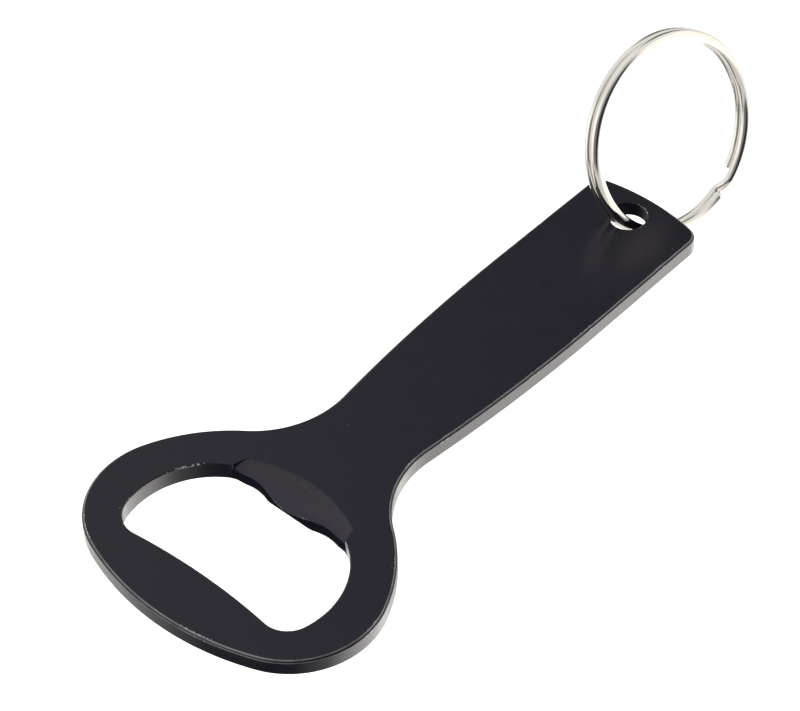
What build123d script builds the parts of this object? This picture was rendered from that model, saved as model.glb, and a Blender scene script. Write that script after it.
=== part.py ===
from build123d import *
from math import atan2, cos, degrees, pi, radians, sin
import os

# A flat bottle opener cut from aluminium sheet, with a split ring through the hole in its handle.
# Millimetres. +X runs from the head to the handle, +Y is across the plate, +Z is up out of the
# face that carries the cap pocket. The origin is the middle of the lip seat, which is the pocket
# floor that bears on a crown cap.

# ---- plate ------------------------------------------------------------------------------------
PLATE_T = 2.4               # sheet thickness
POCKET_DEPTH = 0.7          # how far the lip seat lies below the upper face
TOP_Z = POCKET_DEPTH
BOTTOM_Z = TOP_Z - PLATE_T
EDGE_BEVEL = 0.3            # bevel round the outside of the plate, both faces

NOSE_X = -22.9              # front of the head, on the centre line
TAIL_X = 62.15              # end of the handle, on the centre line
# Half of the outline, as tangent bends from the nose: radius (negative curls outward), degrees.
OUTLINE_BENDS = [
    (34.6, 21.6),           # nose
    (11.0, 91.6),           # shoulder
    (22.8, 30.1),           # cheek
    (-12.3, 59.7),          # neck, curling the other way
    (235.0, 6.8),           # handle, swelling very gently
]
TAIL_HALF_WIDTH = 7.92
TAIL_RADIUS = 29.4          # bow of the handle end
TAIL_CORNER = 2.0

# ---- mouth ------------------------------------------------------------------------------------
MOUTH_X = -15.5             # front wall of the mouth, on the centre line
MOUTH_BENDS = [
    (-80.5, 7.2),           # front wall, bowed back towards the lip at the middle
    (3.4, 82.6),            # corner
    (10.75, 73.0),          # side wall, closing in towards the lip
]
MOUTH_BREAK = 0.12          # broken edge round the mouth, both faces

LIP_CORNER = (-1.65, 8.75)  # where the lip meets the side wall
LIP_MEAN_X = -1.75          # the lip edge waves about this line
LIP_WAVE = 0.6              # a tongue in the middle and a hollow on each side of it
LIP_HALF_PITCH = 5.6        # from the middle of the tongue to the middle of a hollow
LIP_FOOT_X = -1.55          # the tongue is undercut back to here at the lower face

# ---- cap pocket -------------------------------------------------------------------------------
POCKET_X = 2.2              # back wall of the pocket, on the centre line
POCKET_RADIUS = 17.7        # back wall, a little slacker than a crown cap
POCKET_RAMP = 1.2           # the back wall leans this far in as it goes down to the floor
POCKET_HALF_WIDTH = 8.2     # where the back wall turns into the end walls
POCKET_FLARE = (-3.5, 9.3)  # the end walls splay out to here, inside the mouth

# ---- keyring hole -----------------------------------------------------------------------------
HOLE_X, HOLE_Y = 58.17, 0.6
HOLE_R = 2.27
HOLE_BEVEL_TOP = 0.1
HOLE_BEVEL_BOTTOM = 0.4

# ---- split ring -------------------------------------------------------------------------------
RING_R = 12.04              # mid radius of each turn
WIRE_ACROSS = 1.40          # wire, measured along the ring's radius
WIRE_SIDE_R = 0.45          # rounding of the wire's inner and outer edges
WIRE_ALONG = 1.08           # wire, measured along the ring's axis
TURN_GAP = 0.02
RING_CENTRE = (67.67, 2.34, 6.39)
RING_AXIS_AZIMUTH = 265.1   # the ring's axis points sideways and up: the ring leans over
RING_AXIS_ELEVATION = 20.9
SEAM_START = 112.5          # where the crossing begins, about the ring's own axis
SEAM_SWEEP = 16.0           # from one end of the wire round to the other end
CROSSING_SWEEP = 10.0       # how far round the wire takes to cross to the other turn


def bends(start, heading, steps):
    """Tangent arcs laid end to end; returns them with the last point and heading."""
    edges, point, angle = [], Vector(*start), heading
    for radius, sweep in steps:
        turn = -sweep if radius > 0 else sweep
        side = Vector(sin(radians(angle)), -cos(radians(angle))) * radius
        centre = point + side
        middle, end = (centre - side.rotate(Axis.Z, turn * part) for part in (0.5, 1.0))
        edges.append(ThreePointArc(point, middle, end))
        point, angle = end, angle + turn
    return edges, point, angle


def mirrored(half):
    """A face from one half outline and its mirror image in the centre line."""
    edges = half + [edge.mirror(Plane.XZ) for edge in half]
    return make_face(Wire.combine(edges, tol=1e-4)[0])


def plate_face():
    edges, side, _ = bends((NOSE_X, 0), 90, OUTLINE_BENDS)
    # The handle end: a shallow bow on the centre line, rounded into the straight side.
    bow_x = TAIL_X - TAIL_RADIUS
    round_y = TAIL_HALF_WIDTH - TAIL_CORNER
    reach = TAIL_RADIUS - TAIL_CORNER
    round_x = bow_x + (reach**2 - round_y**2) ** 0.5
    slope = atan2(round_y, round_x - bow_x)
    side_end = Vector(round_x, TAIL_HALF_WIDTH)
    bow_start = Vector(bow_x + TAIL_RADIUS * cos(slope), TAIL_RADIUS * sin(slope))
    half_way = (slope + pi / 2) / 2
    corner = Vector(round_x + TAIL_CORNER * cos(half_way), round_y + TAIL_CORNER * sin(half_way))
    edges += [
        Line(side, side_end),
        ThreePointArc(side_end, corner, bow_start),
        ThreePointArc(
            bow_start,
            Vector(bow_x + TAIL_RADIUS * cos(slope / 2), TAIL_RADIUS * sin(slope / 2)),
            Vector(TAIL_X, 0),
        ),
    ]
    return mirrored(edges)


def lip_edge():
    """The waved lip, from its corner with the side wall in to the centre line."""
    steps = 6
    wave = [LIP_HALF_PITCH * 1.25 * (1 - i / steps) for i in range(steps + 1)]
    points = [(LIP_MEAN_X - LIP_WAVE * cos(pi * y / LIP_HALF_PITCH), y) for y in wave]
    return Spline([LIP_CORNER] + points, tangents=[(0.6, -1), (0, -1)])


def mouth_face():
    edges, wall_end, _ = bends((MOUTH_X, 0), 90, MOUTH_BENDS)
    edges += [Line(wall_end, Vector(*LIP_CORNER)), lip_edge()]
    return mirrored(edges)


def pocket_face():
    back_x = POCKET_X - POCKET_RADIUS + (POCKET_RADIUS**2 - POCKET_HALF_WIDTH**2) ** 0.5
    turn, flare = Vector(back_x, POCKET_HALF_WIDTH), Vector(*POCKET_FLARE)
    return mirrored(
        [
            RadiusArc((POCKET_X, 0), turn, -POCKET_RADIUS),
            Line(turn, flare),
            Line(flare, (flare.X, 0)),
        ]
    )


def opener_plate():
    blank = extrude(Pos(0, 0, BOTTOM_Z) * plate_face(), PLATE_T)
    rims = blank.faces().filter_by(Axis.Z).edges()
    blank = chamfer(rims, EDGE_BEVEL)

    mouth = extrude(Pos(0, 0, BOTTOM_Z - 1) * mouth_face(), PLATE_T + 2)
    blank -= mouth
    rims = [
        edge
        for face in blank.faces().filter_by(Axis.Z)
        for edge in face.inner_wires()[0].edges()
        if edge.center().X < LIP_MEAN_X - 1
    ]
    blank = chamfer(rims, MOUTH_BREAK)

    # The back of the pocket is a shallow cone, so it ramps up from the floor to the upper face.
    pocket = extrude(pocket_face(), POCKET_DEPTH)
    ramp = Cone(POCKET_RADIUS - POCKET_RAMP, POCKET_RADIUS, POCKET_DEPTH)
    pocket &= Pos(POCKET_X - POCKET_RADIUS, 0, POCKET_DEPTH / 2) * ramp
    # The tongue leans back under itself, so that only its upper edge grips the cap.
    drop = -BOTTOM_Z
    lip_tip = LIP_MEAN_X - LIP_WAVE
    lean = (LIP_FOOT_X - lip_tip) / drop
    wedge = make_face(
        Polyline(
            (lip_tip, 0, 0),
            (LIP_FOOT_X + lean, 0, BOTTOM_Z - 1),
            (lip_tip - 2, 0, BOTTOM_Z - 1),
            (lip_tip - 2, 0, 0),
            close=True,
        )
    )
    undercut = extrude(wedge, POCKET_HALF_WIDTH, both=True)

    hole = Pos(HOLE_X, HOLE_Y, BOTTOM_Z + PLATE_T / 2) * Cylinder(HOLE_R, PLATE_T + 2)
    flares = []
    for z, bevel, up in ((TOP_Z, HOLE_BEVEL_TOP, 1), (BOTTOM_Z, HOLE_BEVEL_BOTTOM, -1)):
        wide, narrow = HOLE_R + 2 * bevel, HOLE_R - bevel
        lower, upper = (narrow, wide) if up > 0 else (wide, narrow)
        flares.append(Pos(HOLE_X, HOLE_Y, z - up * bevel / 2) * Cone(lower, upper, 3 * bevel))
    return blank - pocket - undercut - hole - flares[0] - flares[1]


def wire_section():
    """The flattened wire: an oval of four arcs."""
    side_x, top_y = WIRE_ACROSS / 2, WIRE_ALONG / 2
    side_centre = side_x - WIRE_SIDE_R
    top_r = (side_centre**2 + top_y**2 - WIRE_SIDE_R**2) / (2 * (top_y - WIRE_SIDE_R))
    lean = atan2(top_r - top_y, side_centre)
    join_x = side_centre + WIRE_SIDE_R * cos(lean)
    join_y = WIRE_SIDE_R * sin(lean)
    corners = [(join_x, join_y), (-join_x, join_y), (-join_x, -join_y), (join_x, -join_y)]
    middles = [(0, top_y), (-side_x, 0), (0, -top_y), (side_x, 0)]
    after = corners[1:] + corners[:1]
    return make_face([ThreePointArc(*arc) for arc in zip(corners, middles, after)])


def split_ring():
    """One wire: a full turn, a short crossing, then a second full turn lying on the first."""
    offset = (WIRE_ALONG + TURN_GAP) / 2

    def on_ring(angle, height):
        return Vector(RING_R * cos(radians(angle)), RING_R * sin(radians(angle)), height)

    def turn(height, start, sweep):
        return ThreePointArc(*(on_ring(start + sweep * part, height) for part in (0, 0.5, 1)))

    steps = 8
    crossing = [
        on_ring(SEAM_START + CROSSING_SWEEP * i / steps, -offset * cos(pi * i / steps))
        for i in range(steps + 1)
    ]
    ends = [Vector(-p.Y, p.X) for p in (crossing[0], crossing[-1])]
    path = Wire(
        [
            turn(-offset, SEAM_START + SEAM_SWEEP, 360 - SEAM_SWEEP),
            Spline(crossing, tangents=ends),
            turn(offset, SEAM_START + CROSSING_SWEEP, 360 - CROSSING_SWEEP),
        ]
    )
    start = on_ring(SEAM_START + SEAM_SWEEP, -offset)
    section = Plane(start, x_dir=(start.X, start.Y, 0), z_dir=(-start.Y, start.X, 0))
    wire = sweep(section * wire_section(), path)

    azimuth, elevation = radians(RING_AXIS_AZIMUTH), radians(RING_AXIS_ELEVATION)
    axis = Vector(
        cos(elevation) * cos(azimuth), cos(elevation) * sin(azimuth), sin(elevation)
    )
    level = axis.cross(Vector(0, 0, 1))
    return Plane(RING_CENTRE, x_dir=level, z_dir=axis) * wire


os.makedirs("parts", exist_ok=True)
for name, solid in (("opener_plate", opener_plate()), ("split_ring", split_ring())):
    solid.label = name
    export_step(solid, f"parts/{name}.step")
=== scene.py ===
import math

import bmesh
import bpy
from mathutils import Matrix, Vector


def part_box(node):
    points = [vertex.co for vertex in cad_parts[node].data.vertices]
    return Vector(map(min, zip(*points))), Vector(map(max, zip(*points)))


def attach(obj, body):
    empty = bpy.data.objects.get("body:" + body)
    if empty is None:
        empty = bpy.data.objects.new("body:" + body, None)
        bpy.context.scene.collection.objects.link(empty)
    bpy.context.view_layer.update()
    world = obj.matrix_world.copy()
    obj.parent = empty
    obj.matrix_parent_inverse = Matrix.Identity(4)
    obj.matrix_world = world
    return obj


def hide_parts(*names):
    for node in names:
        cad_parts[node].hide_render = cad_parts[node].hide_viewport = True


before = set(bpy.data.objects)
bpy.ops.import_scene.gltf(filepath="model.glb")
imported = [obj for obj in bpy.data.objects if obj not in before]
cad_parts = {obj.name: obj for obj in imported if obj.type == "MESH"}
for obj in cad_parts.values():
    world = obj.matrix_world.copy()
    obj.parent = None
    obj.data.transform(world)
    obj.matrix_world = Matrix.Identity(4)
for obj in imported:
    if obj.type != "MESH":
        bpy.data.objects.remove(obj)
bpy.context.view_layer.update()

# A black keychain bottle opener with a nickel split ring, on a pale floor in soft studio light.
# Shapes are worked out in millimetres in the part's own frame and scaled to metres when meshed.
MM = 0.001
PLATE_LOW, PLATE_HIGH = (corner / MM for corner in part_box("opener_plate"))
TOP_Z, BOTTOM_Z = PLATE_HIGH.z, PLATE_LOW.z
NOSE_X, TAIL_X = PLATE_LOW.x, PLATE_HIGH.x

# ---- plate, as the CAD has it -----------------------------------------------------------------
OUTLINE_BENDS = [(34.6, 21.6), (11.0, 91.6), (22.8, 30.1), (-12.3, 59.7), (235.0, 6.8)]
TAIL_HALF_WIDTH = 7.92
TAIL_RADIUS = 29.4
TAIL_CORNER = 2.0
EDGE_BEVEL = 0.3

MOUTH_X = -15.5
MOUTH_BENDS = [(-80.5, 7.2), (3.4, 82.6), (10.75, 73.0)]
MOUTH_BREAK = 0.12
LIP_CORNER = (-1.65, 8.75)
LIP_MEAN_X = -1.75
LIP_WAVE = 0.6
LIP_HALF_PITCH = 5.6
LIP_WAVE_END = 7.0
LIP_FOOT_X = -1.55
LIP_LEAVES = (0.6, -1)      # the way the lip sets off from the side wall

POCKET_X = 2.2
POCKET_RADIUS = 17.7
POCKET_RAMP = 1.2
POCKET_HALF_WIDTH = 8.2
POCKET_CENTRE = Vector((POCKET_X - POCKET_RADIUS, 0))

HOLE_X, HOLE_Y = 58.17, 0.6
HOLE_R = 2.27
HOLE_BEVEL_TOP = 0.1
HOLE_BEVEL_BOTTOM = 0.4

# ---- split ring, as the CAD has it ------------------------------------------------------------
RING_R = 12.04
WIRE_ACROSS = 1.40
WIRE_ALONG = 1.08
TURN_GAP = 0.02
RING_CENTRE = (67.67, 2.34, 6.39)
RING_AXIS_AZIMUTH = 265.1
RING_AXIS_ELEVATION = 20.9
SEAM_START = 112.5
SEAM_SWEEP = 16.0
CROSSING_SWEEP = 10.0

# ---- how finely the visual mesh follows those shapes ------------------------------------------
SPACING = 0.35              # along the plate's curves
LIP_SPACING = 0.21          # along the lip's waves
LIP_CORNER_STEPS = 6        # from the lip's corner to its first wave
ROUNDING = 0.05             # every machined edge is very slightly rounded
HOLE_ROUNDING = 0.03
MARGIN = 0.45               # flat border kept beside the outline and the mouth
HOLE_MARGIN_TOP = 0.35      # the same, outside the bevels of the keyring hole
HOLE_MARGIN_BOTTOM = 0.3
WEAR_REACH = 0.1            # how far from an edge its wear goes
TOUCHING = 0.001            # distances smaller than this count as none
SAME_POINT = 0.002          # vertices closer than this are merged
SHARP_ANGLE = 40            # edges sharper than this, in degrees, aren't shaded smooth

POCKET_CRISP = 0.02         # the pocket's edges are broken only this much
LIP_LEVELS = 8              # rows down the lip's wall
LIP_WALL_TOP = -0.06        # just under the lip's rounded edge
BORE_PAINTED_SHADE = 0.85            # how much shade is painted on the hole's wall, as a dull dark coat

WIRE_SIDES = 32             # vertices round the wire
WIRE_STEP = 1.0             # degrees from one section of the wire to the next
CROSSING_FINER = 3          # times as many sections in the crossing
# The wire's cut ends are slightly rounded: its first and last sections are this much smaller.
WIRE_END_SIZES = [0.80, 0.93]

# ---- floor and camera -------------------------------------------------------------------------
FLOOR_REACH = 3000.0
FLOOR_Z = -19.5
# The camera stands off the head's near side, looking down on the plate.
CAMERA_AIM = (23.46, 5.81, 0.70)
CAMERA_DISTANCE = 507.99
CAMERA_AZIMUTH = 224.03
CAMERA_ELEVATION = 46.31
CAMERA_ROLL = 2.49
CAMERA_LENS = 197.48
CAMERA_SENSOR = 36


# ==== flat curves ==============================================================================
def direction(azimuth, elevation):
    """A unit vector; azimuth runs from +X towards +Y."""
    a, e = math.radians(azimuth), math.radians(elevation)
    return Vector((math.cos(e) * math.cos(a), math.cos(e) * math.sin(a), math.sin(e)))


def bends(start, heading, steps):
    """Points along tangent arcs laid end to end. A negative radius curls to the left."""
    points, angle = [Vector(start)], math.radians(heading)
    for radius, sweep in steps:
        turn = math.copysign(math.radians(sweep), -radius)
        centre = points[-1] + Vector((math.sin(angle), -math.cos(angle))) * radius
        spoke = points[-1] - centre
        count = max(4, round(abs(radius * turn) / SPACING))
        steps_round = range(1, count + 1)
        points += [centre + Matrix.Rotation(turn * i / count, 2) @ spoke for i in steps_round]
        angle += turn
    return points


def arc(centre, radius, start, end):
    """Points along an arc; its angles are in radians."""
    count = max(4, round(radius * abs(end - start) / SPACING))
    angles = (start + (end - start) * i / count for i in range(count + 1))
    return [Vector(centre) + radius * Vector((math.cos(a), math.sin(a))) for a in angles]


def line(start, end):
    """Points along a straight run."""
    start, end = Vector(start), Vector(end)
    count = max(1, round((end - start).length / SPACING))
    return [start.lerp(end, i / count) for i in range(count + 1)]


def joined(*runs):
    """Runs of points end to end, without the repeated joints."""
    points = list(runs[0])
    for run in runs[1:]:
        points += run[1:]
    return points


def mirrored(half):
    """A half curve that starts and ends on the centre line, closed by its mirror image."""
    return half + [Vector((p.x, -p.y)) for p in reversed(half[1:-1])]


def shifted(points, distances, closed=True):
    """Points moved sideways, to the right of travel, each by its own distance."""
    moved, count = [], len(points)
    for i, (point, distance) in enumerate(zip(points, distances)):
        before = points[i - 1] if closed or i > 0 else point
        after = points[(i + 1) % count] if closed or i < count - 1 else point
        into = (point - before).normalized() if point != before else (after - point).normalized()
        out = (after - point).normalized() if after != point else into
        sides = Vector((into.y, -into.x)), Vector((out.y, -out.x))
        mitre = (sides[0] + sides[1]) / (1 + sides[0].dot(sides[1]))
        moved.append(point + mitre * distance)
    return moved


def outline():
    """Round the outside of the plate, from the nose along the +Y side."""
    side = bends((NOSE_X, 0), 90, OUTLINE_BENDS)
    bow_x = TAIL_X - TAIL_RADIUS
    round_y = TAIL_HALF_WIDTH - TAIL_CORNER
    round_x = bow_x + math.sqrt((TAIL_RADIUS - TAIL_CORNER) ** 2 - round_y**2)
    slope = math.atan2(round_y, round_x - bow_x)
    corner = arc((round_x, round_y), TAIL_CORNER, math.pi / 2, slope)
    bow = arc((bow_x, 0), TAIL_RADIUS, slope, 0)
    return mirrored(joined(side, line(side[-1], corner[0]), corner, bow))


def mouth_wall():
    """From the lip's corner on the -Y side, round the front of the mouth, to the +Y corner."""
    half = bends((MOUTH_X, 0), 90, MOUTH_BENDS)
    half = joined(half, line(half[-1], LIP_CORNER))
    return [Vector((p.x, -p.y)) for p in reversed(half[1:])] + half


def pocket_wall():
    """From the +Y corner of the lip, round the back of the cap pocket, to the -Y corner."""
    slope = math.asin(POCKET_HALF_WIDTH / POCKET_RADIUS)
    back = arc(POCKET_CENTRE, POCKET_RADIUS, slope, 0)
    # The knee is where the end wall meets the foot of the ramp.
    corner = Vector(LIP_CORNER)
    run, start = back[0] - corner, corner - POCKET_CENTRE
    foot = POCKET_RADIUS - POCKET_RAMP
    across = start.dot(run)
    left_over = across**2 - run.length_squared * (start.length_squared - foot**2)
    knee = corner + run * ((math.sqrt(left_over) - across) / run.length_squared)
    half = joined(line(corner, knee), line(knee, back[0]), back)
    return half + [Vector((p.x, -p.y)) for p in reversed(half[:-1])]


def on_pocket_back(point):
    """Whether a point of the pocket's edge lies on its round back wall."""
    return (point - POCKET_CENTRE).length > POCKET_RADIUS - TOUCHING


def ramped(points, depth):
    """Points round the pocket's back, brought in to where the ramp is that far down."""
    reach = depth * POCKET_RAMP / TOP_Z
    return [
        p - (p - POCKET_CENTRE).normalized() * reach if on_pocket_back(p) else p for p in points
    ]


def lip_edge():
    """The waved lip, from its +Y corner to its -Y corner."""
    phase = math.pi * LIP_WAVE_END / LIP_HALF_PITCH
    start = Vector((LIP_MEAN_X - LIP_WAVE * math.cos(phase), LIP_WAVE_END))
    slope = Vector((-math.pi * LIP_WAVE / LIP_HALF_PITCH * math.sin(phase), -1)).normalized()
    reach = (Vector(LIP_CORNER) - start).length
    leave = Vector(LIP_LEAVES).normalized() * reach
    end = []
    for i in range(LIP_CORNER_STEPS + 1):
        t = i / LIP_CORNER_STEPS
        end.append(
            Vector(LIP_CORNER) * (2 * t**3 - 3 * t**2 + 1)
            + leave * (t**3 - 2 * t**2 + t)
            + start * (3 * t**2 - 2 * t**3)
            + slope * reach * (t**3 - t**2)
        )
    count = round(LIP_WAVE_END / LIP_SPACING)
    ys = [LIP_WAVE_END * (1 - i / count) for i in range(1, count + 1)]
    wave = [Vector((LIP_MEAN_X - LIP_WAVE * math.cos(math.pi * y / LIP_HALF_PITCH), y)) for y in ys]
    half = end + wave
    return half + [Vector((p.x, -p.y)) for p in reversed(half[:-1])]


# ==== meshing ==================================================================================
def placed(bm, name):
    """A finished mesh as an object in the scene, shaded smooth between its sharp edges."""
    bmesh.ops.recalc_face_normals(bm, faces=bm.faces)
    mesh = bpy.data.meshes.new(name)
    bm.to_mesh(mesh)
    bm.free()
    mesh.shade_smooth()
    mesh.set_sharp_from_angle(angle=math.radians(SHARP_ANGLE))
    piece = bpy.data.objects.new(name, mesh)
    bpy.context.scene.collection.objects.link(piece)
    return piece


class Skin:
    """A mesh built from rows of points.

    Each vertex carries four values: wear, 1 on a sharp edge; strip, 1 on a bevel, where a highlight
    is painted; the painted shade value, 1 where shade is painted on as a dull dark coat; and
    milled, 1 inside the cap pocket.
    """

    def __init__(self):
        self.bm = bmesh.new()
        self.wear = self.bm.verts.layers.float.new("wear")
        self.strip = self.bm.verts.layers.float.new("strip")
        self.painted_shade = self.bm.verts.layers.float.new("painted_shade")
        self.milled = self.bm.verts.layers.float.new("milled")

    def row(self, points, heights, wear=0.0, strip=0.0, painted_shade=0.0, milled=0.0):
        """One vertex at each point; wear and milled may be given point by point."""
        verts = []
        for i, (point, z) in enumerate(zip(points, heights)):
            vert = self.bm.verts.new((point.x * MM, point.y * MM, z * MM))
            vert[self.wear] = wear[i] if isinstance(wear, list) else wear
            vert[self.strip] = strip
            vert[self.painted_shade] = painted_shade
            vert[self.milled] = milled[i] if isinstance(milled, list) else milled
            verts.append(vert)
        return verts

    def bridge(self, first, second, closed=True):
        """Quads between two rows of the same length."""
        last = len(first) if closed else len(first) - 1
        for i in range(last):
            j = (i + 1) % len(first)
            self.bm.faces.new((first[i], first[j], second[j], second[i]))

    def fill(self, *loops):
        """Triangles inside the first loop and outside the others."""
        edges = []
        for loop in loops:
            for i, vert in enumerate(loop):
                other = loop[(i + 1) % len(loop)]
                edges.append(self.bm.edges.get((vert, other)) or self.bm.edges.new((vert, other)))
        bmesh.ops.triangle_fill(self.bm, use_beauty=True, use_dissolve=False, edges=edges)

    def finish(self, name):
        bmesh.ops.remove_doubles(self.bm, verts=self.bm.verts, dist=SAME_POINT * MM)
        return placed(self.bm, name)


def eased(profile, radius=ROUNDING, steps=3):
    """A profile of (inset, height) points with each corner in it rounded."""
    points = [Vector(p) for p in profile]
    rounded = [points[0]]
    for before, corner, after in zip(points, points[1:], points[2:]):
        arms = (before - corner), (after - corner)
        half = arms[0].angle(arms[1]) / 2
        if half > math.radians(85):
            rounded.append(corner)
            continue
        reach = min(radius / math.tan(half), 0.45 * arms[0].length, 0.45 * arms[1].length)
        start, end = (corner + arm.normalized() * reach for arm in arms)
        for i in range(steps + 1):
            t = i / steps
            rounded.append(start * (1 - t) ** 2 + corner * 2 * t * (1 - t) + end * t**2)
    return rounded + [points[-1]]


def flanked(profile, gap):
    """The profile with a point added a little way to each side of every corner in it."""
    points = [Vector(p) for p in profile]
    full = [points[0]]
    for before, corner, after in zip(points, points[1:], points[2:]):
        for other, first in ((before, True), (after, False)):
            arm = other - corner
            beside = corner + arm.normalized() * min(gap, 0.45 * arm.length)
            full += [beside, corner] if first else [beside]
    return full + [points[-1]]


def wear_along(profile, corners, reach):
    """How exposed each point of a profile is: 1 at a corner, 0 a short way off."""
    nearest = (min((Vector(p) - Vector(c)).length for c in corners) for p in profile)
    return [max(0.0, 1 - distance / reach) for distance in nearest]


def outer_skin(skin, loop):
    """The outside of the plate, from the border of the top face round to that of the bottom."""
    corners = [
        (EDGE_BEVEL, TOP_Z),
        (0, TOP_Z - EDGE_BEVEL),
        (0, BOTTOM_Z + EDGE_BEVEL),
        (EDGE_BEVEL, BOTTOM_Z),
    ]
    ends = (EDGE_BEVEL + MARGIN, TOP_Z), (EDGE_BEVEL + MARGIN, BOTTOM_Z)
    profile = eased(flanked([ends[0], *corners, ends[1]], WEAR_REACH))
    rows = []
    for (inset, z), wear in zip(profile, wear_along(profile, corners, WEAR_REACH)):
        points = shifted(loop, [inset] * len(loop))
        # The strip marks the bevels, where a highlight is painted on.
        on_bevel = -TOUCHING <= inset <= EDGE_BEVEL + TOUCHING and wear > 0
        strip = 1.0 if on_bevel and (inset > TOUCHING / 10 or wear > 0.5) else 0.0
        rows.append(skin.row(points, [z] * len(loop), wear, strip))
    for first, second in zip(rows, rows[1:]):
        skin.bridge(first, second)
    return rows[0], rows[-1]


def hole_skin(skin):
    """The keyring hole, from the border on the top face down to that on the bottom."""
    corners = [
        (HOLE_BEVEL_TOP, TOP_Z),
        (0, TOP_Z - HOLE_BEVEL_TOP),
        (0, BOTTOM_Z + HOLE_BEVEL_BOTTOM),
        (HOLE_BEVEL_BOTTOM, BOTTOM_Z),
    ]
    ends = (
        (HOLE_BEVEL_TOP + HOLE_MARGIN_TOP, TOP_Z),
        (HOLE_BEVEL_BOTTOM + HOLE_MARGIN_BOTTOM, BOTTOM_Z),
    )
    profile = eased(flanked([ends[0], *corners, ends[1]], WEAR_REACH), radius=HOLE_ROUNDING)
    count = round(2 * math.pi * HOLE_R / SPACING)
    spokes = [direction(360 * i / count, 0).xy for i in range(count)]
    rows = []
    for (out, z), wear in zip(profile, wear_along(profile, corners, WEAR_REACH)):
        points = [Vector((HOLE_X, HOLE_Y)) + spoke * (HOLE_R + out) for spoke in spokes]
        # Painted shade: the bore's wall gets a dull dark coat in place of its reflections.
        painted_shade = BORE_PAINTED_SHADE if out < TOUCHING / 10 else 0.0
        rows.append(skin.row(points, [z] * count, wear, painted_shade=painted_shade))
    for first, second in zip(rows, rows[1:]):
        skin.bridge(first, second)
    return rows[0], rows[-1]


def tapered(count, full, fade=6):
    """The same distance all along a run, easing to nothing at its two ends."""
    return [full * min(1.0, i / fade, (count - 1 - i) / fade) for i in range(count)]


def mouth_skin(skin):
    """The mouth's wall, the pocket's wall, ramp and floor, and the lip between them."""
    wall, pocket, lip = mouth_wall(), pocket_wall(), lip_edge()
    upper = wall + pocket[1:-1]
    walls = len(wall)

    def rim(loop, ease, side, z_face, wear, steps=3):
        """Rows from the face's border over the broken edge; side is 1 for the top face."""
        rows = []
        for gap in (MARGIN, WEAR_REACH):
            rows.append(skin.row(shifted(loop, [-gap - e for e in ease]), [z_face] * len(loop)))
        for i in range(steps + 1):
            t = i / steps
            out = [-e * (1 - t) for e in ease]
            heights = [z_face - side * e * t for e in ease]
            rows.append(skin.row(shifted(loop, out), heights, wear))
        inner = ramped(loop, WEAR_REACH) if side > 0 else loop
        milled = [1.0 if side > 0 and on_pocket_back(p) else 0.0 for p in loop]
        heights = [z_face - side * (e + WEAR_REACH) for e in ease]
        rows.append(skin.row(inner, heights, milled=milled))
        for first, second in zip(rows, rows[1:]):
            skin.bridge(first, second)
        return rows[0], rows[-1]

    soft = tapered(walls, 1.0)
    upper_ease = [POCKET_CRISP + (MOUTH_BREAK - POCKET_CRISP) * s for s in soft]
    upper_ease += [POCKET_CRISP] * (len(upper) - walls)
    upper_wear = [0.0 if on_pocket_back(p) else 1.0 for p in upper]
    top_outer, top = rim(upper, upper_ease, 1, TOP_Z, upper_wear)

    # The lip leans back under itself, down to its foot.
    tip = LIP_MEAN_X - LIP_WAVE

    def lip_row(z):
        foot = tip + (LIP_FOOT_X - tip) * z / BOTTOM_Z
        reach = POCKET_HALF_WIDTH
        return [Vector((max(p.x, foot), p.y)) if abs(p.y) < reach else p for p in lip]

    lower = wall + lip_row(BOTTOM_Z)[1:-1]
    bottom_outer, bottom = rim(lower, [MOUTH_BREAK] * len(lower), -1, BOTTOM_Z, 1.0)

    # Mouth wall, top to bottom.
    skin.bridge(top[:walls], bottom[:walls], closed=False)

    # Pocket: end walls down to the floor or the ramp, and the ramp down to the floor.
    floor = POCKET_RADIUS - POCKET_RAMP
    feet, heights = ramped(pocket, TOP_Z), []
    for point in pocket:
        above = ((point - POCKET_CENTRE).length - floor) / POCKET_RAMP * TOP_Z
        heights.append(0.0 if on_pocket_back(point) else max(0.0, above))
    pocket_foot = skin.row(feet, heights, milled=1.0)
    skin.bridge([top[walls - 1], *top[walls:], top[0]], pocket_foot, closed=False)
    back = [i for i, point in enumerate(pocket) if on_pocket_back(point)]
    knee = next(i for i, z in enumerate(heights) if i < back[0] and heights[i + 1] > 0)
    last = len(pocket) - 1
    for i in range(knee, back[0] - 1):
        skin.bm.faces.new((pocket_foot[i], pocket_foot[i + 1], pocket_foot[back[0]]))
        mirror = (last - i, last - i - 1, back[-1])
        skin.bm.faces.new([pocket_foot[n] for n in mirror])

    # Lip, bottom to top. Its wall is given painted shade: a dull dark coat in place of its
    # reflections.
    rows = [[bottom[walls - 1], *bottom[walls:], bottom[0]]]
    low = BOTTOM_Z + MOUTH_BREAK + WEAR_REACH
    for i in range(LIP_LEVELS + 1):
        z = low + (LIP_WALL_TOP - low) * i / LIP_LEVELS
        rows.append(skin.row(lip_row(z), [z] * len(lip), painted_shade=1.0))
    # Over the lip's rounded edge: distance back from the lip, height, wear.
    for back_off, z, wear in ((0.012, -0.02, 1.0), (0.05, 0.0, 1.0), (0.15, 0.0, 0.0)):
        points = shifted(lip, [-d for d in tapered(len(lip), back_off)], closed=False)
        rows.append(skin.row(points, [z] * len(lip), wear, milled=1.0))
    for first, second in zip(rows, rows[1:]):
        skin.bridge(first, second, closed=False)
    floor_loop = pocket_foot[: knee + 1] + pocket_foot[back[0] : back[-1] + 1]
    floor_loop += pocket_foot[last - knee : last]
    skin.fill(floor_loop + list(reversed(rows[-1]))[:-1])
    return top_outer, bottom_outer


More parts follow.
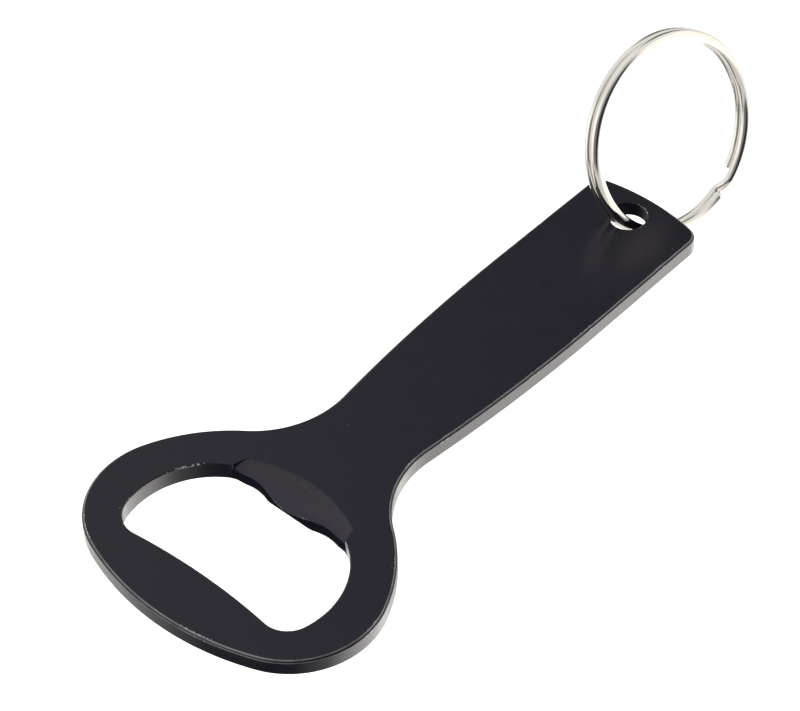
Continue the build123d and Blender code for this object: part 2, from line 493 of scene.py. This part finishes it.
def build_plate():
    skin = Skin()
    outer_top, outer_bottom = outer_skin(skin, outline())
    hole_top, hole_bottom = hole_skin(skin)
    mouth_top, mouth_bottom = mouth_skin(skin)
    skin.fill(outer_top, hole_top, mouth_top)
    skin.fill(outer_bottom, hole_bottom, mouth_bottom)
    return skin.finish("plate_body")


def build_ring():
    """The split ring's one wire: a full turn, the crossing, and the second turn on the first."""
    offset = (WIRE_ALONG + TURN_GAP) / 2
    # Each run: where it starts, how far it goes round, and its height along the ring's axis.
    runs = (
        (SEAM_START + SEAM_SWEEP, 360 - SEAM_SWEEP, lambda t: -offset),
        (SEAM_START, CROSSING_SWEEP, lambda t: -offset * math.cos(math.pi * t)),
        (SEAM_START + CROSSING_SWEEP, 360 - CROSSING_SWEEP, lambda t: offset),
    )
    stations = []
    for first, sweep, height in runs:
        count = round(sweep / WIRE_STEP) * (CROSSING_FINER if sweep == CROSSING_SWEEP else 1)
        stations += [(first + sweep * i / count, height(i / count)) for i in range(count)]
    stations.append((SEAM_START + 360, offset))

    axis = direction(RING_AXIS_AZIMUTH, RING_AXIS_ELEVATION)
    level = axis.cross(Vector((0, 0, 1))).normalized()
    other = axis.cross(level)

    bm = bmesh.new()
    uv = bm.loops.layers.uv.new("wire")
    rows, total = [], len(stations)
    for i, (angle, height) in enumerate(stations):
        a = math.radians(angle)
        spoke = level * math.cos(a) + other * math.sin(a)
        # Each section stands square to the wire, which climbs only along the crossing.
        (before, low), (after, high) = stations[max(i - 1, 0)], stations[min(i + 1, total - 1)]
        climb = math.atan2(high - low, math.radians((after - before) % 360) * RING_R)
        ahead = other * math.cos(a) - level * math.sin(a)
        upright = axis * math.cos(climb) - ahead * math.sin(climb)
        nearest = min(i, total - 1 - i)
        size = WIRE_END_SIZES[nearest] if nearest < len(WIRE_END_SIZES) else 1.0
        row = []
        for k in range(WIRE_SIDES):
            b = 2 * math.pi * k / WIRE_SIDES
            out = RING_R + WIRE_ACROSS / 2 * size * math.cos(b)
            up = WIRE_ALONG / 2 * size * math.sin(b)
            place = Vector(RING_CENTRE) + spoke * out + axis * height + upright * up
            row.append(bm.verts.new(place * MM))
        rows.append(row)
    # The wire's UV map: millimetres along it, and once round it.
    station_length = math.radians(WIRE_STEP) * RING_R
    for i, (first_row, second_row) in enumerate(zip(rows, rows[1:])):
        along = i * station_length, (i + 1) * station_length
        for k in range(WIRE_SIDES):
            j = (k + 1) % WIRE_SIDES
            face = bm.faces.new((first_row[k], first_row[j], second_row[j], second_row[k]))
            for loop in face.loops:
                u = along[0] if loop.vert in (first_row[k], first_row[j]) else along[1]
                side = 0 if loop.vert in (first_row[k], second_row[k]) else 1
                loop[uv].uv = (u, (k + side) / WIRE_SIDES)
    for row in (rows[0], rows[-1]):
        bm.faces.new(row)
    return placed(bm, "ring_wire")


# ==== materials ================================================================================
class Nodes:
    """Short hand for wiring a node tree."""

    def __init__(self, owner):
        owner.use_nodes = True
        self.tree = owner.node_tree
        self.tree.nodes.clear()

    def add(self, kind, settings=None, **inputs):
        """A node with its inputs set or linked, each by its name or as _ and its number."""
        node = self.tree.nodes.new(kind)
        for key, value in (settings or {}).items():
            setattr(node, key, value)
        for key, value in inputs.items():
            socket = node.inputs[int(key[1:]) if key[0] == "_" else key.replace("_", " ")]
            if isinstance(value, bpy.types.NodeSocket):
                self.tree.links.new(value, socket)
            else:
                socket.default_value = value
        return node

    def math(self, operation, first, second=0.0, clamp=False):
        settings = {"operation": operation, "use_clamp": clamp}
        return self.add("ShaderNodeMath", settings, _0=first, _1=second).outputs[0]

    def noise(self, vector, scale, detail=2.0, roughness=0.5):
        return self.add(
            "ShaderNodeTexNoise", Vector=vector, Scale=scale, Detail=detail, Roughness=roughness
        ).outputs["Fac"]

    def ramp(self, value, low, high, out_low=0.0, out_high=1.0):
        """A soft step between two values."""
        settings = {"interpolation_type": "SMOOTHSTEP"}
        return self.add(
            "ShaderNodeMapRange", settings, _0=value, _1=low, _2=high, _3=out_low, _4=out_high
        ).outputs[0]

    def mix(self, factor, first, second):
        settings = {"data_type": "RGBA"}
        return self.add("ShaderNodeMix", settings, _0=factor, _6=first, _7=second).outputs[2]


def black_coat():
    """Satin black coat over aluminium: fine grain and small bright nicks, with a painted highlight
    along the bevels and painted shade on the lip and bore walls.
    """
    material = bpy.data.materials.new("black_coat")
    n = Nodes(material)
    place = n.add("ShaderNodeTexCoord").outputs["Object"]
    wear = n.add("ShaderNodeAttribute", {"attribute_name": "wear"}).outputs["Fac"]
    strip = n.add("ShaderNodeAttribute", {"attribute_name": "strip"}).outputs["Fac"]
    painted_shade = n.add("ShaderNodeAttribute", {"attribute_name": "painted_shade"}).outputs["Fac"]
    milled = n.add("ShaderNodeAttribute", {"attribute_name": "milled"}).outputs["Fac"]

    grain = n.noise(place, 9000, 3.0, 0.6)
    pitting = n.noise(place, 4200, 2.0, 0.6)
    mottle = n.noise(place, 500, 4.0, 0.55)
    specks = n.noise(place, 3200, 1.0, 0.5)
    chips = n.noise(place, 3600, 2.0, 0.7)
    patches = n.noise(place, 220, 2.0, 0.5)

    # Nicks along the edges, in patches, and a very few specks out on the faces.
    edge = n.math("MULTIPLY", n.ramp(wear, 0.60, 0.90), n.ramp(chips, 0.50, 0.56))
    edge = n.math("MULTIPLY", edge, n.ramp(patches, 0.53, 0.62))
    nicks = n.math("MAXIMUM", edge, n.ramp(specks, 0.83, 0.845))
    # Painted highlight: the bevels are made pale and partly metallic, in a mottled strip, to stand
    # in for their glint.
    painted_bevel_highlight = n.math("MULTIPLY", n.ramp(strip, 0.4, 0.9), n.ramp(mottle, 0.25, 0.6, 0.12, 0.24))
    nicks_and_painted_highlight = n.math("MAXIMUM", nicks, painted_bevel_highlight, clamp=True)

    coat = n.mix(mottle, (0.0024, 0.0006, 0.0100, 1), (0.0038, 0.0016, 0.0125, 1))
    pocket = n.mix(n.ramp(pitting, 0.35, 0.7), (0.013, 0.009, 0.022, 1), (0.027, 0.022, 0.037, 1))
    colour = n.mix(milled, coat, pocket)
    # The nicks and the painted bevel highlight both turn the colour towards pale metal.
    colour = n.mix(nicks_and_painted_highlight, colour, (0.80, 0.79, 0.80, 1))
    rough = n.ramp(mottle, 0.3, 0.7, 0.21, 0.26)
    rough = n.math("ADD", rough, n.math("MULTIPLY", milled, 0.15))
    relief = n.math("ADD", grain, n.math("MULTIPLY", n.math("MULTIPLY", milled, pitting), 3.0))
    bump = n.add("ShaderNodeBump", Strength=0.12, Distance=0.00002, Height=relief).outputs[0]
    shader = n.add(
        "ShaderNodeBsdfPrincipled",
        Base_Color=colour,
        Metallic=nicks_and_painted_highlight,
        Roughness=rough,
        Normal=bump,
        IOR=1.42,
    )
    # Painted shade: where the shade value is 1, a dull dark coat replaces the gloss, standing in
    # for the shadow under the plate that the lip and bore walls reflect.
    painted_shade_coat = n.add("ShaderNodeBsdfDiffuse", Color=(0.012, 0.010, 0.018, 1), Normal=bump)
    blend = n.add("ShaderNodeMixShader", _0=painted_shade, _1=shader.outputs[0], _2=painted_shade_coat.outputs[0])
    n.add("ShaderNodeOutputMaterial", Surface=blend.outputs[0])
    return material


def nickel():
    """Polished nickel wire with faint drawing lines along it."""
    material = bpy.data.materials.new("nickel_wire")
    n = Nodes(material)
    wire = n.add("ShaderNodeTexCoord").outputs["UV"]
    lines = n.add("ShaderNodeMapping", Vector=wire, Scale=(0.35, 60.0, 1.0)).outputs[0]
    drawn = n.noise(lines, 1.0, 3.0, 0.6)
    place = n.add("ShaderNodeTexCoord").outputs["Object"]
    cloud = n.noise(place, 350, 3.0, 0.5)
    colour = n.mix(cloud, (0.74, 0.715, 0.67, 1), (0.79, 0.765, 0.72, 1))
    rough = n.ramp(drawn, 0.3, 0.7, 0.04, 0.09)
    bump = n.add("ShaderNodeBump", Strength=0.15, Distance=0.00002, Height=drawn).outputs[0]
    shader = n.add(
        "ShaderNodeBsdfPrincipled",
        Base_Color=colour,
        Metallic=1.0,
        Roughness=rough,
        Normal=bump,
    )
    n.add("ShaderNodeOutputMaterial", Surface=shader.outputs[0])
    return material


# ==== studio ===================================================================================
PALE = (0.98, 0.97, 0.95)
WHITE = (1.0, 0.99, 0.96)
WARM = (1.0, 0.97, 0.92)
COOL = (0.95, 0.96, 1.0)

# Each panel, in degrees: azimuth, elevation, half width, half height and the softness of its
# sides and of its ends; then its brightness and tint. Later ones lie over earlier ones.
PANELS = [
    (220, -20, 55, 20, 12, 8, 0.76, WARM),
    (84, -48, 34, 12, 16, 10, 1.6, WHITE),
    (320, -52, 44, 34, 22, 12, 3.9, WARM),
    (188, -50, 48, 10, 24, 8, 0.06, COOL),
    (154, 18, 31, 23, 6, 7, 1.35, WHITE),
    (316, 6, 22, 22, 5, 6, 1.35, WARM),
    (250, 58, 48, 13, 10, 8, 0.66, WARM),
    (242, 21, 46, 20, 9, 5, 0.24, WARM),
    (246, 40, 24, 13, 8, 5, 0.28, COOL),
    (268, 16, 23, 17, 5, 4, 0.04, COOL),
    (22, 36, 22, 20, 12, 12, 0.12, COOL),
]


def studio():
    """A pale surround with large soft boxes and dark flags, as one procedural sky."""
    world = bpy.data.worlds.new("studio")
    bpy.context.scene.world = world
    n = Nodes(world)
    look = n.add("ShaderNodeTexCoord").outputs["Generated"]
    parts = n.add("ShaderNodeSeparateXYZ", Vector=look).outputs
    elevation = n.math("DEGREES", n.math("ARCSINE", parts["Z"]))

    def dot(vector):
        settings = {"operation": "DOT_PRODUCT"}
        return n.add("ShaderNodeVectorMath", settings, _0=look, _1=vector).outputs["Value"]

    def panel(azimuth, height, half_width, half_height, soft_sides, soft_ends):
        ahead = direction(azimuth, 0)
        side = Vector((-ahead.y, ahead.x, 0))
        around = n.math("DEGREES", n.math("ARCTAN2", dot(side), dot(ahead)))
        above = n.math("SUBTRACT", elevation, height)
        mask = 1.0
        for offset, half, soft in (
            (around, half_width, soft_sides),
            (above, half_height, soft_ends),
        ):
            edge = n.ramp(n.math("ABSOLUTE", offset), half - soft, half + soft, 1, 0)
            mask = n.math("MULTIPLY", edge, mask)
        return mask

    light = (*PALE, 1)
    for *shape, strength, tint in PANELS:
        shade = (*(strength * part for part in tint), 1)
        light = n.mix(panel(*shape), light, shade)
    background = n.add("ShaderNodeBackground", Color=light, Strength=1.0)
    n.add("ShaderNodeOutputWorld", Surface=background.outputs[0])


def build_floor():
    """A plain white floor that neither shows in the ring nor lights the plate from below."""
    mesh = bpy.data.meshes.new("floor")
    reach, square = FLOOR_REACH * MM, ((-1, -1), (1, -1), (1, 1), (-1, 1))
    corners = [(x * reach, y * reach, FLOOR_Z * MM) for x, y in square]
    mesh.from_pydata(corners, [], [(0, 1, 2, 3)])
    floor = bpy.data.objects.new("floor", mesh)
    bpy.context.scene.collection.objects.link(floor)
    floor.visible_glossy = False
    floor.visible_diffuse = False
    material = bpy.data.materials.new("pale_floor")
    n = Nodes(material)
    shader = n.add(
        "ShaderNodeBsdfPrincipled",
        Base_Color=(0.9, 0.9, 0.9, 1),
        Roughness=0.9,
        Emission_Color=(1, 1, 1, 1),
        Emission_Strength=0.95,
    )
    n.add("ShaderNodeOutputMaterial", Surface=shader.outputs[0])
    mesh.materials.append(material)


def build_camera():
    """A long lens, set by position, aim and roll."""
    back = direction(CAMERA_AZIMUTH, CAMERA_ELEVATION)
    camera = bpy.data.cameras.new("camera")
    camera.lens = CAMERA_LENS
    camera.sensor_width = CAMERA_SENSOR
    camera.clip_start = 0.01
    viewer = bpy.data.objects.new("camera", camera)
    bpy.context.scene.collection.objects.link(viewer)
    roll = Matrix.Rotation(math.radians(-CAMERA_ROLL), 3, "Z").to_quaternion()
    viewer.rotation_mode = "QUATERNION"
    viewer.rotation_quaternion = back.to_track_quat("Z", "Y") @ roll
    viewer.location = (Vector(CAMERA_AIM) + back * CAMERA_DISTANCE) * MM
    bpy.context.scene.camera = viewer


# ==== the scene ================================================================================
plate = build_plate()
plate.data.materials.append(black_coat())
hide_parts("opener_plate")
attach(plate, "opener")

ring = build_ring()
ring.data.materials.append(nickel())
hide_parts("split_ring")
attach(ring, "key_ring")

studio()
build_floor()
build_camera()
bpy.context.scene.view_settings.view_transform = "Standard"
